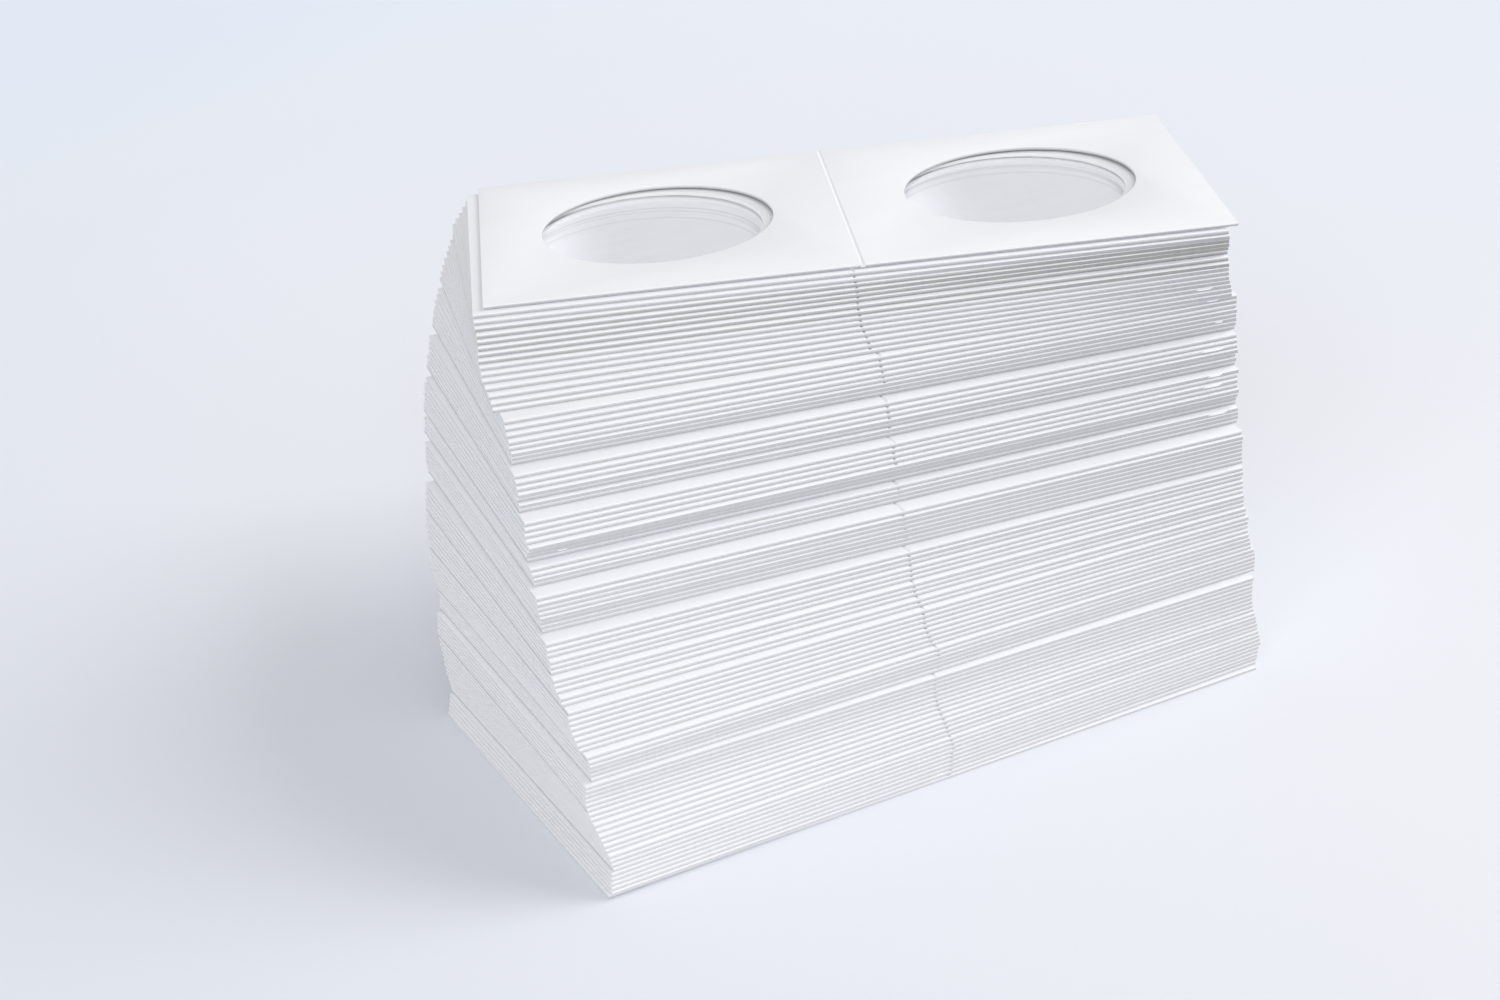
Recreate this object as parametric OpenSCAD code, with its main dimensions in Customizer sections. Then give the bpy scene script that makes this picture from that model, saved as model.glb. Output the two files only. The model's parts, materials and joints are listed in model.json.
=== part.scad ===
// A fanned pile of one hundred unfolded coin flips. Each flip is a strip of white card with two
// round windows, a clear film glued under it and a scored crease across its middle, on which it
// folds shut round a coin, film against film. The pile twists and leans back as it rises, and
// its blocks are slid out in steps. The top flip is modelled as two panels that fold.
// X runs along the lowest flip's long edge, Y to the back and Z up. The origin is the middle of
// the lowest flip's underside. Flips are counted from 1 at the bottom.

/* [Card strip] */
// Length of one unfolded strip
strip_length = 101.6; // [90:0.2:120]
// Depth of one strip, which is the side of the folded square
strip_depth = 50.8; // [42:0.2:60]
// Thickness of the card
card_thickness = 0.46; // [0.3:0.02:0.6]

/* [Windows] */
// Diameter of each round window
window_diameter = 32.7; // [20:0.1:38]
// How far a window's centre lies outward from the middle of its panel
window_outset = 0.4; // [0:0.1:2]
// How far a window's centre lies behind the middle of its panel
window_setback = 0.6; // [0:0.1:2]
// Width and depth of the crushed rim that the punch leaves round a window
rim_bevel = 0.08; // [0.02:0.01:0.15]

/* [Film] */
// Thickness of the clear film
film_thickness = 0.04; // [0.02:0.01:0.08]
// How far the film stops short of the card's edges
film_margin = 2; // [0.5:0.1:4]

/* [Crease] */
// Width of the scored groove across the card
crease_width = 0.6; // [0.3:0.05:1.2]
// Depth of the scored groove
crease_depth = 0.18; // [0.08:0.02:0.28]
// Gap between the two panels of the flip that folds
panel_gap = 0.05; // [0.02:0.01:0.1]

/* [Pile] */
// Air between two flips that lie on each other
air_gap = 0.09; // [0.07:0.01:0.3]
// How far the top flip has slid to the right
slide_right = 17; // [0:0.5:30]
// How far the top flip has slid to the back
slide_back = 29.4; // [0:0.2:35]
// How far the top flip is turned clockwise, seen from above
pile_turn = 22.9; // [0:0.1:30]
// How far the top flip leans down to the back
pile_lean = 4.574; // [0:0.002:5.5]

/* [Hidden] */
// Overrun of every cut past the face that it leaves
overrun = 0.5;
// Facets of a round edge
window_facets = 96;
// How much of the light the film holds back where it is drawn
film_alpha = 0.35;
// How late in the pile most of its lean comes
lean_growth = 2;
// Parts of a whole share that the table of places is written in
share_parts = 1000;

flip_thickness = card_thickness + film_thickness;
flip_pitch = flip_thickness + air_gap;
window_radius = window_diameter / 2;
window_x = strip_length / 4 + window_outset;

// Number of flips in each block of the pile, from the bottom up
block_counts = [6, 12, 6, 5, 8, 6, 6, 8, 4, 8, 7, 8, 15, 1];

// Where each flip lies, from the bottom up and a new row for each block: its slide to the right,
// its slide to the back and its turn, in thousandths of the top flip's
flip_places = [
    [0, 0, 0], [5, 3, -26], [13, 6, -21], [21, 7, -15], [29, 10, -13], [38, 12, -10],
    [60, 15, -7], [55, 18, -5], [51, 21, -3], [48, 26, -1], [44, 38, 9], [42, 40, 14],
    [39, 48, 22], [37, 52, 30], [36, 63, 39], [35, 74, 45], [34, 84, 57], [34, 89, 63],
    [32, 95, 70], [34, 97, 73], [38, 101, 77], [41, 101, 77], [46, 103, 75], [50, 103, 80],
    [101, 134, 57], [101, 134, 63], [101, 132, 62], [101, 131, 60], [101, 135, 61],
    [94, 140, 70], [87, 162, 94], [83, 166, 99], [80, 173, 108], [79, 181, 117], [81, 191, 121],
    [84, 198, 124], [89, 203, 131],
    [103, 210, 137], [107, 239, 165], [112, 244, 173], [116, 268, 186], [120, 274, 197],
    [124, 278, 202],
    [145, 303, 219], [150, 308, 219], [156, 314, 221], [164, 330, 233], [172, 331, 240],
    [180, 340, 246],
    [241, 396, 287], [233, 392, 288], [228, 393, 288], [226, 390, 282], [225, 392, 290],
    [227, 393, 295], [231, 393, 298], [237, 407, 301],
    [297, 492, 310], [296, 486, 309], [297, 487, 319], [299, 493, 330],
    [330, 537, 344], [325, 530, 347], [325, 520, 347], [328, 512, 339], [336, 532, 350],
    [347, 541, 362], [361, 553, 363], [380, 560, 375],
    [430, 631, 412], [433, 623, 415], [439, 636, 431], [448, 625, 432], [459, 640, 442],
    [471, 651, 449], [485, 668, 461],
    [556, 738, 498], [554, 729, 500], [557, 727, 500], [564, 734, 518], [575, 738, 527],
    [589, 754, 545], [607, 766, 564], [628, 780, 583],
    [640, 820, 668], [654, 831, 684], [669, 846, 710], [686, 864, 744], [703, 879, 779],
    [721, 891, 799], [739, 903, 821], [757, 911, 844], [776, 932, 849], [795, 955, 845],
    [814, 959, 871], [833, 960, 901], [853, 970, 934], [873, 973, 968], [893, 993, 983],
    [1000, 1000, 1000]
];

// The first flip of each block, and the number of flips in the pile
function block_start(b) = b == 0 ? 1 : block_start(b - 1) + block_counts[b - 1];
block_total = len(block_counts);
flip_total = block_start(block_total - 1) + block_counts[block_total - 1] - 1;
top_flip = flip_total;

// The line on which the flips bear, as a share of the reach of the top flip's back corner
bearing_share = 0.56;
corner_reach = slide_back + cos(pile_turn) * strip_depth / 2 + sin(pile_turn) * strip_length / 2;
bearing_y = bearing_share * corner_reach;

// Columns of the table of places, and how much of the top flip's slide or turn a flip has
right = 0;
back = 1;
turned = 2;
function place_share(i, part) = flip_places[i - 1][part] / share_parts;

// Pose of flip i: the slide and turn of its middle, its slope to the back, and its height there
function flip_x(i) = slide_right * place_share(i, right);
function flip_y(i) = slide_back * place_share(i, back);
function flip_turn(i) = -pile_turn * place_share(i, turned);
function flip_rise_share(i) = pow((i - 1) / (flip_total - 1), lean_growth);
function flip_slope(i) = -tan(pile_lean) * flip_rise_share(i);
function flip_z(i) = (i - 1) * flip_pitch + flip_slope(i) * (flip_y(i) - bearing_y);

// Flips from this one up, other than the top one, have nodes of their own
first_single = block_start(block_total - 2);
stack_total = block_total - 2;

function two_digits(n) = str(n < 10 ? "0" : "", n);
function stack_name(b, kind) = str("stack_", two_digits(b + 1), "_", kind);
function single_name(i, kind) = str("flip_", i, "_", kind);

// Puts a flip that is drawn round its own middle, on its underside, at its place in the pile
module in_pile(i) {
    translate([flip_x(i), flip_y(i), flip_z(i)])
    rotate([atan(flip_slope(i)), 0, 0])
    rotate([0, 0, flip_turn(i)])
    children();
}

// A window's hole through the card, with the rim that the punch crushes at the face
module window_cut() {
    translate([0, 0, -overrun])
    cylinder(h = card_thickness + 2 * overrun, r = window_radius, $fn = window_facets);
    translate([0, 0, card_thickness - rim_bevel])
    cylinder(h = 2 * rim_bevel, r1 = window_radius, r2 = window_radius + 2 * rim_bevel, $fn = window_facets);
}

// The scored groove, a shallow V pressed across the whole depth of the strip
module crease_cut() {
    translate([0, strip_depth / 2 + overrun, card_thickness])
    rotate([90, 0, 0])
    linear_extrude(strip_depth + 2 * overrun)
    polygon([
        [-crease_width / 2, 0], [0, -crease_depth], [crease_width / 2, 0],
        [crease_width / 2, overrun], [-crease_width / 2, overrun]
    ]);
}

// The card of a flip between two places along it, on top of its film
module card_shape(x_low, x_high) {
    translate([0, 0, film_thickness])
    difference() {
        translate([x_low, -strip_depth / 2, 0])
        cube([x_high - x_low, strip_depth, card_thickness]);
        for (side = [-1, 1])
            if (side * (x_low + x_high) >= 0)
                translate([side * window_x, window_setback, 0]) window_cut();
        crease_cut();
    }
}

// The film of a flip between two places along it
module film_shape(x_low, x_high) {
    translate([x_low, film_margin - strip_depth / 2, 0])
    cube([x_high - x_low, strip_depth - 2 * film_margin, film_thickness]);
}

module flip_card(i) {
    color("white")
    in_pile(i) card_shape(-strip_length / 2, strip_length / 2);
}

module flip_film(i) {
    color("aliceblue", film_alpha)
    in_pile(i) film_shape(film_margin - strip_length / 2, strip_length / 2 - film_margin);
}

module top_left_card() {
    color("white")
    in_pile(top_flip) card_shape(-strip_length / 2, -panel_gap / 2);
}

module top_right_card() {
    color("white")
    in_pile(top_flip) card_shape(panel_gap / 2, strip_length / 2);
}

module top_left_film() {
    color("aliceblue", film_alpha)
    in_pile(top_flip) film_shape(film_margin - strip_length / 2, -panel_gap / 2);
}

module top_right_film() {
    color("aliceblue", film_alpha)
    in_pile(top_flip) film_shape(panel_gap / 2, strip_length / 2 - film_margin);
}

// The cards of one block, and the films of one block, each flip a solid of its own
module stack_cards(b) {
    for (k = [0:block_counts[b] - 1]) flip_card(block_start(b) + k);
}

module stack_films(b) {
    for (k = [0:block_counts[b] - 1]) flip_film(block_start(b) + k);
}

top_left_card();
top_right_card();
top_left_film();
top_right_film();
for (i = [first_single:top_flip - 1]) {
    flip_card(i);
    flip_film(i);
}
for (b = [0:stack_total - 1]) {
    stack_cards(b);
    stack_films(b);
}
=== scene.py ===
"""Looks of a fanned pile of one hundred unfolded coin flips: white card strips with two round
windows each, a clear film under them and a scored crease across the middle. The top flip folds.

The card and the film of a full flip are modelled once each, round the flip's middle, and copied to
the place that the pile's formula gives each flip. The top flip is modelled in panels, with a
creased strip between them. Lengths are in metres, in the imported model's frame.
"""

import json
import math

import bmesh
import bpy
from bpy.props import FloatProperty, FloatVectorProperty, IntProperty, PointerProperty
from mathutils import Matrix, Vector


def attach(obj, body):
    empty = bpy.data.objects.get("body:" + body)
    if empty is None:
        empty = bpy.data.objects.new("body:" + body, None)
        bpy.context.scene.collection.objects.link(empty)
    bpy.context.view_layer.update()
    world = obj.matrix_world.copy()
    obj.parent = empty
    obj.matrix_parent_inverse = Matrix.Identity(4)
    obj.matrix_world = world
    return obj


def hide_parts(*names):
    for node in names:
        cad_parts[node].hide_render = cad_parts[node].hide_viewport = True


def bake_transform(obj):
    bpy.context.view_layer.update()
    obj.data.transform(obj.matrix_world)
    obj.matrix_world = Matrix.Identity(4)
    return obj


bl_info = {
    "name": "Coin Flip Pile",
    "version": (1, 0, 0),
    "blender": (4, 5, 0),
    "location": "View3D > Sidebar > Coin Flips",
    "description": "Dresses a fanned pile of card coin flips, and lights it",
    "category": "Object",
}

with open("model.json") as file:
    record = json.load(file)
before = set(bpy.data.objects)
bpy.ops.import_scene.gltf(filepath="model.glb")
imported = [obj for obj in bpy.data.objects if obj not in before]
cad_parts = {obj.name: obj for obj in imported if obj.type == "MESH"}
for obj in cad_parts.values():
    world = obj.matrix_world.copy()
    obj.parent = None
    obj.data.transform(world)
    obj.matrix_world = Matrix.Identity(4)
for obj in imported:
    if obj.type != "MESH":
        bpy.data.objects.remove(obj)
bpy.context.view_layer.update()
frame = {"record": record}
behaviour = frame["record"]["behaviour"]
body_of_node = {node: body for body, nodes in behaviour["bodies"].items() for node in nodes}
window_mount = next(mount for mount in frame["record"]["mounts"] if mount["name"] == "window_left")

# Number of flips in each block of the pile, from the bottom up
BLOCK_COUNTS = (6, 12, 6, 5, 8, 6, 6, 8, 4, 8, 7, 8, 15, 1)

# Where each flip lies, from the bottom up and a new row for each block: its slide to the right, its
# slide to the back and its turn, in thousandths of the top flip's
FLIP_PLACES = (
    (0, 0, 0), (5, 3, -26), (13, 6, -21), (21, 7, -15), (29, 10, -13), (38, 12, -10),
    (60, 15, -7), (55, 18, -5), (51, 21, -3), (48, 26, -1), (44, 38, 9), (42, 40, 14),
    (39, 48, 22), (37, 52, 30), (36, 63, 39), (35, 74, 45), (34, 84, 57), (34, 89, 63),
    (32, 95, 70), (34, 97, 73), (38, 101, 77), (41, 101, 77), (46, 103, 75), (50, 103, 80),
    (101, 134, 57), (101, 134, 63), (101, 132, 62), (101, 131, 60), (101, 135, 61),
    (94, 140, 70), (87, 162, 94), (83, 166, 99), (80, 173, 108), (79, 181, 117), (81, 191, 121),
    (84, 198, 124), (89, 203, 131),
    (103, 210, 137), (107, 239, 165), (112, 244, 173), (116, 268, 186), (120, 274, 197),
    (124, 278, 202),
    (145, 303, 219), (150, 308, 219), (156, 314, 221), (164, 330, 233), (172, 331, 240),
    (180, 340, 246),
    (241, 396, 287), (233, 392, 288), (228, 393, 288), (226, 390, 282), (225, 392, 290),
    (227, 393, 295), (231, 393, 298), (237, 407, 301),
    (297, 492, 310), (296, 486, 309), (297, 487, 319), (299, 493, 330),
    (330, 537, 344), (325, 530, 347), (325, 520, 347), (328, 512, 339), (336, 532, 350),
    (347, 541, 362), (361, 553, 363), (380, 560, 375),
    (430, 631, 412), (433, 623, 415), (439, 636, 431), (448, 625, 432), (459, 640, 442),
    (471, 651, 449), (485, 668, 461),
    (556, 738, 498), (554, 729, 500), (557, 727, 500), (564, 734, 518), (575, 738, 527),
    (589, 754, 545), (607, 766, 564), (628, 780, 583),
    (640, 820, 668), (654, 831, 684), (669, 846, 710), (686, 864, 744), (703, 879, 779),
    (721, 891, 799), (739, 903, 821), (757, 911, 844), (776, 932, 849), (795, 955, 845),
    (814, 959, 871), (833, 960, 901), (853, 970, 934), (873, 973, 968), (893, 993, 983),
    (1000, 1000, 1000),
)
RIGHT, BACK, TURN = 0, 1, 2
SHARE_PARTS = 1000

# How late in the pile most of its lean comes
LEAN_GROWTH = 2

# Flips whose cut edges are painted greyer, for their shade high in the pile, and the highest flip
# whose film is an opaque stand-in, with the well's shade painted on it
SHADED_GREY_FLIPS = range(92, 98)
DEEP_FLIP = 98

# Flips with a sliver torn from their front edge: where it is along the flip, and how long
SLIVERS = {
    61: (0.0477, 0.0020), 63: (-0.0460, 0.0010), 67: (0.0470, 0.0019), 69: (0.0472, 0.0015),
    74: (0.0472, 0.0024), 79: (0.0482, 0.0008), 84: (0.0473, 0.0012), 87: (0.0470, 0.0016),
}

# Shape of a sliver, in half card thicknesses: how far it stands out of the card's front and is sunk
# in it, and how far its top and its foot lie under the card's face. How far its tips are pulled
# out, in its own lengths, and up or down, in half card thicknesses. How much they and its front
# are then shrunk.
SLIVER_OUT, SLIVER_IN, SLIVER_TOP, SLIVER_FOOT = 1, 1 / 3, 0.4, 1.6
TIP_PULL, TIP_TILT = 1 / 4, 1 / 3
SLIVER_TIP, SLIVER_FRONT = (1, 0.3, 0.2), (0.8, 1, 0.5)

# How wide the crease's mouths are against the rest of it, and in how many steps the top one bends
MOUTH_PINCH = 0.75
FOLD_STEPS = 12

# Steps in which an edge is rounded, and fields of a film along the flip and across it
ROUNDING_STEPS = 2
FILM_FIELDS = (8, 4)

# Length of the punch, in card thicknesses
PUNCH_LENGTH = 6

# The least that a face's normal points along an axis on a face that looks that way, and the most
# that it points up or down on a cut edge, and up on a window's crushed rim
LOOKS_ALONG, CUT_LOOKS_UP, RIM_LOOKS_UP = 0.5, 0.3, 0.98

# Places of the finishes among a card's materials
FACING_SLOT, CUT_SLOT, RIM_SLOT = 0, 1, 2

# What the edge map holds, in place of a ledge, on a card's ends and in its windows. One more is
# added where the card is the first of its block.
END_MARK = -100

# Noises over a flip, each with its stretch along and across the flip and up the pile, its scale
# and its detail. How bright the card is in its clouds, and where those start and end.
CARD_CLOUDS = ((1, 1, 40), 60, 3)
CARD_GRAIN = ((1, 1, 10), 2600, 2)
FILM_CLOUDS = ((1, 1, 40), 90, 2)
BLADE_MARKS = ((1, 1, 0.12), 2200, 4)
CUT_FIBRES = ((0.35, 0.35, 1), 9000, 3)
CLOUD_DIM, CLOUD_STOPS = 0.985, (0.3, 0.7)

# How much painted shade a cut edge has along a flip's sides: at mid height and from top to foot
# where the flip below lies flush, and what is added to both where it juts out
SIDE_SHADE, SIDE_SLOPE = 0.75, 0.15
JUT_SHADE, JUT_SLOPE = -0.25, 1.05

# What that painted shade is multiplied by at the middle of the pile's foot, and more per metre up
# and to the right
SHADE_GROWTH, GROWTH_UP, GROWTH_RIGHT = 0.83, 12, 4.5

# How much painted shade a cut edge has at a flip's ends and in its windows: from top to foot, and
# as a painted shadow at a block's seam, which fades upward by this power. How much the grain counts
# on all cut edges, the painted shade at which the colour of the shaded foot is reached, and where
# the ramp down to that colour starts and ends.
END_SLOPE, SEAM_SHADE, SEAM_POWER = 0.08, 1.6, 2
GRAIN_SHADE, FOOT_SHADE = 0.3, 2
CUT_STOPS = (0.05, 1)

# How much the film's haze varies, how fast the card's painted shade on it grows to a window's back,
# and where the ramp from the film's cast to that shade starts and ends
HAZE_SPREAD, BACK_GROWTH = 0.4, 1.5
FILM_STOPS = (0, 0.1)

# How light the well's painted shade is, from 0 at its rims to 1: in its middle, and what deeper
# card and clouds add
WELL_LIGHT, WELL_CARD_LIGHT, WELL_CLOUD_LIGHT = 0.45, 0.05, 0.05

# Deeper windows whose rims are painted as dark lines on the film over a well: how many flips down,
# and how dark
DEEP_RIMS = ((2, 0.9), (3, 0.6), (5, 0.5))

# Where the shades of the well's rims, of the well, of film and of card lie on the ramp of its look
WELL_STOPS = (0, 0.4, 0.8, 1)

# Painted glow for light scattered between films: all over a window, more at its left, and how fast
# that grows
SCATTER, LEFT_SCATTER, LEFT_GROWTH = 0.22, 0.52, 1.25

# How the light painted on the table and on the pale room behind it grows: along which level
# direction, by how much per metre, and how light they are at the pile. How fast the table fades
# into the room, per metre from the pile, and that fading at the pile.
TABLE_LIGHT = ((0.88, 0.2), 5, 0.85)
ROOM_LIGHT = ((0.88, -0.48), 6.5, 1)
ROOM_FADE, ROOM_FADE_START = 4.5, -0.5

SENSOR_WIDTH_MM = 36
NEAREST_SEEN, FARTHEST_SEEN = 0.01, 20


def length(name, description, default):
    """A length that the panel shows."""
    return FloatProperty(name=name, description=description, default=default, unit="LENGTH")


def angle(name, description, degrees):
    """An angle that the panel shows."""
    return FloatProperty(
        name=name, description=description, default=math.radians(degrees), subtype="ANGLE"
    )


def share(name, description, default):
    """A share that the panel shows."""
    return FloatProperty(name=name, description=description, default=default, subtype="FACTOR")


def point(name, description, default):
    """A point that the panel shows."""
    return FloatVectorProperty(
        name=name, description=description, default=default, size=3, subtype="TRANSLATION"
    )


def colour(name, description, default):
    """A colour that the panel shows."""
    return FloatVectorProperty(
        name=name, description=description, default=default, size=3, min=0, max=1, subtype="COLOR"
    )


class FlipSizes(bpy.types.PropertyGroup):
    """Sizes of one unfolded flip"""

    strip_length: length("Strip length", "Length of one unfolded strip", 0.1016)
    strip_depth: length("Strip depth", "Depth of one strip", 0.0508)
    card_thickness: length("Card thickness", "Thickness of the card", 0.00046)
    cut_rounding: length("Cut rounding", "How far the die rolls the card's upper edges in", 0.00013)
    foot_rounding: length("Foot rounding", "Rounding of the card's lower edges", 0.00004)
    smoothing: angle("Smoothing", "Sharpest bend between faces that is shaded as round", 25)
    ledge_width: length(
        "Ledge width", "How far a flip juts out where the next one's foot is darkest", 0.00016
    )
    rest_gap: length("Rest gap", "Air left between a card's rim and the flip below", 0.00003)
    window_radius: length(
        "Window radius", "Radius of each round window", window_mount["dims"]["r_mm"] / 1000
    )
    window_outset: length(
        "Window outset", "How far a window lies outward from the middle of its panel", 0.0004
    )
    window_setback: length(
        "Window setback", "How far a window lies behind the middle of its panel", 0.0006
    )
    rim_bevel: length("Rim bevel", "Width of the crushed rim that the punch leaves", 0.00008)
    crease_width: length("Crease width", "Width of the scored groove across the card", 0.0006)
    crease_depth: length("Crease depth", "Depth of the scored groove", 0.00018)
    film_thickness: length("Film thickness", "Thickness of the clear film", 0.00004)
    film_margin: length("Film margin", "How far the film stops short of the card's edges", 0.002)
    rim_shade: length(
        "Rim shade", "How far the card's shade reaches over the film in a window", 0.0011
    )
    rim_drift: length(
        "Rim drift", "How much nearer the front each deeper rim is seen, through a film", 0.0009
    )
    rim_softness: length("Rim softness", "How soft a deeper rim is seen, through a film", 0.00048)
    window_facets: IntProperty(
        name="Window facets", description="Number of straight stretches round a window", default=72
    )


class PileSizes(bpy.types.PropertyGroup):
    """How the pile is fanned"""

    air_gap: length("Air gap", "Air between two flips that lie on each other", 0.00009)
    slide_right: length("Slide right", "How far the top flip has slid to the right", 0.017)
    slide_back: length("Slide back", "How far the top flip has slid to the back", 0.0294)
    pile_turn: angle("Turn", "How far the top flip is turned clockwise", 22.9)
    pile_lean: angle("Lean", "How far the top flip leans down to the back", 4.574)
    bearing_share: share(
        "Bearing share", "Where the flips bear, as a share of the top one's reach to the back", 0.56
    )


class FinishColours(bpy.types.PropertyGroup):
    """Colours of the card, the film and the table"""

    facing: colour("Facing", "The card's smooth white face", (0.945, 0.95, 0.985))
    cut: colour("Cut edge", "The card's cut edge, just under its face", (0.86, 0.862, 0.88))
    # Painted shade at the foot of the cut edges, for the shadow in the gap under each card
    cut_foot_shade: colour("Cut foot", "The crushed foot of that edge", (0.235, 0.24, 0.26))
    # Painted greyer and darker, for the shade on the edges of flips high in the pile
    grey_shaded_cut: colour(
        "Grey cut edge", "The cut edge of the flips from a greyer board", (0.74, 0.74, 0.722)
    )
    grey_foot_shade: colour("Grey cut foot", "The crushed foot of that edge", (0.17, 0.17, 0.162))
    film: colour("Film haze", "The milky cast of the film", (0.95, 0.965, 1.0))
    # Painted shade of the deep well under the windows, and of its deeper rims, on the deep films
    well: colour(
        "Window well", "The dim middle of the deep well under a window", (0.865, 0.895, 0.97)
    )
    well_rim: colour("Well's rims", "The rims of the deeper windows", (0.45, 0.47, 0.51))
    # The table and the surroundings are painted dimmer to the left, for the light's falloff
    table: colour("Table", "The pale table", (0.875, 0.89, 0.938))
    table_dim: colour(
        "Table's dim side", "The table where it falls off to the left", (0.765, 0.805, 0.885)
    )
    sky: colour("Surroundings", "The pale surroundings of the table", (0.815, 0.85, 0.935))
    sky_dim: colour("Dim surroundings", "Those surroundings to the left", (0.765, 0.815, 0.905))


class StudioSettings(bpy.types.PropertyGroup):
    """Lights and camera"""

    ambient: FloatProperty(
        name="Ambient", description="Strength of the even light all round", default=0.53
    )
    key_share: share("Key share", "What the key lamp adds on a level white face", 0.33)
    key_size: length("Key size", "Side of the key lamp", 1.7)
    key_height: angle("Key height", "How high the key lamp stands", 43)
    key_turn: angle("Key turn", "How far the key lamp stands round from the right to the back", -10)
    fill_share: share("Fill share", "What the fill lamp adds on a level white face", 0.18)
    fill_size: length("Fill size", "Side of the fill lamp", 2.3)
    fill_height: angle("Fill height", "How high the fill lamp stands", 27)
    fill_turn: angle(
        "Fill turn", "How far the fill lamp stands round from the right to the back", -130
    )
    lamp_distance: length("Lamp distance", "From the pile to each lamp", 2.5)
    table_side: length("Table side", "Side of the table", 6.0)
    eye: point("Eye", "Where the camera stands", (-0.17266, -0.3061, 0.22173))
    aim: point("Aim", "A point in the middle of the picture", (-0.00735, 0.01431, 0.02653))
    roll: angle("Roll", "How far the camera is rolled", -2.88)
    lens: FloatProperty(
        name="Lens", description="Focal length in millimetres, on a 36 mm sensor", default=70.8
    )


GROUPS = {
    "flip_sizes": FlipSizes,
    "pile_sizes": PileSizes,
    "finish_colours": FinishColours,
    "studio_settings": StudioSettings,
}


# The pile's formula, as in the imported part


def block_start(block):
    """The first flip of a block, counted from 1 at the bottom."""
    return 1 + sum(BLOCK_COUNTS[:block])


FLIP_TOTAL = sum(BLOCK_COUNTS)
TOP_FLIP = FLIP_TOTAL
FIRST_LOOSE = block_start(len(BLOCK_COUNTS) - 2)
STACKED_BLOCKS = range(len(BLOCK_COUNTS) - 2)
BLOCK_FIRSTS = [block_start(block) for block in range(1, len(BLOCK_COUNTS))]


def place_share(flip, part):
    """How much of the top flip's slide or turn a flip has."""
    return FLIP_PLACES[flip - 1][part] / SHARE_PARTS


def in_pile(flip):
    """The matrix that takes a flip from round its own middle to its place in the pile."""
    flips, pile = bpy.context.scene.flip_sizes, bpy.context.scene.pile_sizes
    corner_reach = (
        pile.slide_back
        + math.cos(pile.pile_turn) * flips.strip_depth / 2
        + math.sin(pile.pile_turn) * flips.strip_length / 2
    )
    pitch = flips.card_thickness + flips.film_thickness + pile.air_gap
    slope = -math.tan(pile.pile_lean) * ((flip - 1) / (FLIP_TOTAL - 1)) ** LEAN_GROWTH
    x = pile.slide_right * place_share(flip, RIGHT)
    y = pile.slide_back * place_share(flip, BACK)
    turn = -pile.pile_turn * place_share(flip, TURN)
    z = (flip - 1) * pitch + slope * (y - pile.bearing_share * corner_reach)
    tilt = Matrix.Rotation(math.atan(slope), 4, "X")
    return Matrix.Translation((x, y, z)) @ tilt @ Matrix.Rotation(turn, 4, "Z")


# Finishes


def new_finish(name, roughness, specular):
    """A material that is so rough and mirrors so much, its node tree and its shader."""
    finish = bpy.data.materials.new(name)
    finish.use_nodes = True
    tree = finish.node_tree
    shader = next(node for node in tree.nodes if node.type == "BSDF_PRINCIPLED")
    shader.inputs["Roughness"].default_value = roughness
    shader.inputs["Specular IOR Level"].default_value = specular
    return tree, shader


def add_node(tree, kind, **values):
    """Adds a node and sets its properties or the default values of its inputs."""
    node = tree.nodes.new(kind)
    for name, value in values.items():
        if hasattr(node, name):
            setattr(node, name, value)
        else:
            node.inputs[name.replace("_", " ").title()].default_value = value
    return node


def split(tree, source):
    """The X, Y and Z of a vector, as sockets."""
    parts = add_node(tree, "ShaderNodeSeparateXYZ")
    tree.links.new(source, parts.inputs[0])
    return parts.outputs["X"], parts.outputs["Y"], parts.outputs["Z"]


def place_in_frame(tree):
    """Where a point lies in the shared frame."""
    return split(tree, add_node(tree, "ShaderNodeTexCoord").outputs["Object"])


def place_on_map(tree, name):
    """The two numbers that a UV map holds at a point."""
    return split(tree, add_node(tree, "ShaderNodeUVMap", uv_map=name).outputs["UV"])[:2]


def reckon(tree, operation, *values, clamp=False):
    """One sum of sockets and numbers, as a socket."""
    node = add_node(tree, "ShaderNodeMath", operation=operation, use_clamp=clamp)
    for place, value in zip(node.inputs, values):
        if isinstance(value, bpy.types.NodeSocket):
            tree.links.new(value, place)
        else:
            place.default_value = value
    return node.outputs[0]


def plan_noise(tree, stretch, scale, detail):
    """Noise over a flip's own plan and up the pile."""
    spot = add_node(tree, "ShaderNodeCombineXYZ")
    for place, value in zip(spot.inputs, (*place_on_map(tree, "plan"), place_in_frame(tree)[2])):
        tree.links.new(value, place)
    mapping = add_node(tree, "ShaderNodeMapping", scale=stretch)
    noise = add_node(tree, "ShaderNodeTexNoise", scale=scale, detail=detail)
    tree.links.new(spot.outputs[0], mapping.inputs[0])
    tree.links.new(mapping.outputs[0], noise.inputs["Vector"])
    return noise.outputs["Fac"]


def add_bump(tree, shader, height, distance, strength):
    """Feeds a height into the shader as a bump."""
    bump = add_node(tree, "ShaderNodeBump", distance=distance, strength=strength)
    tree.links.new(height, bump.inputs["Height"])
    tree.links.new(bump.outputs["Normal"], shader.inputs["Normal"])


def tint(tree, colour_input, factor, *stops):
    """Runs a colour through stops, each a place and a shade, over a factor."""
    ramp = add_node(tree, "ShaderNodeValToRGB")
    while len(ramp.color_ramp.elements) < len(stops):
        ramp.color_ramp.elements.new(0.5)
    for stop, (place, shade) in zip(ramp.color_ramp.elements, stops):
        stop.position, stop.color = place, (*shade, 1)
    tree.links.new(factor, ramp.inputs["Fac"])
    tree.links.new(ramp.outputs["Color"], colour_input)


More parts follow.
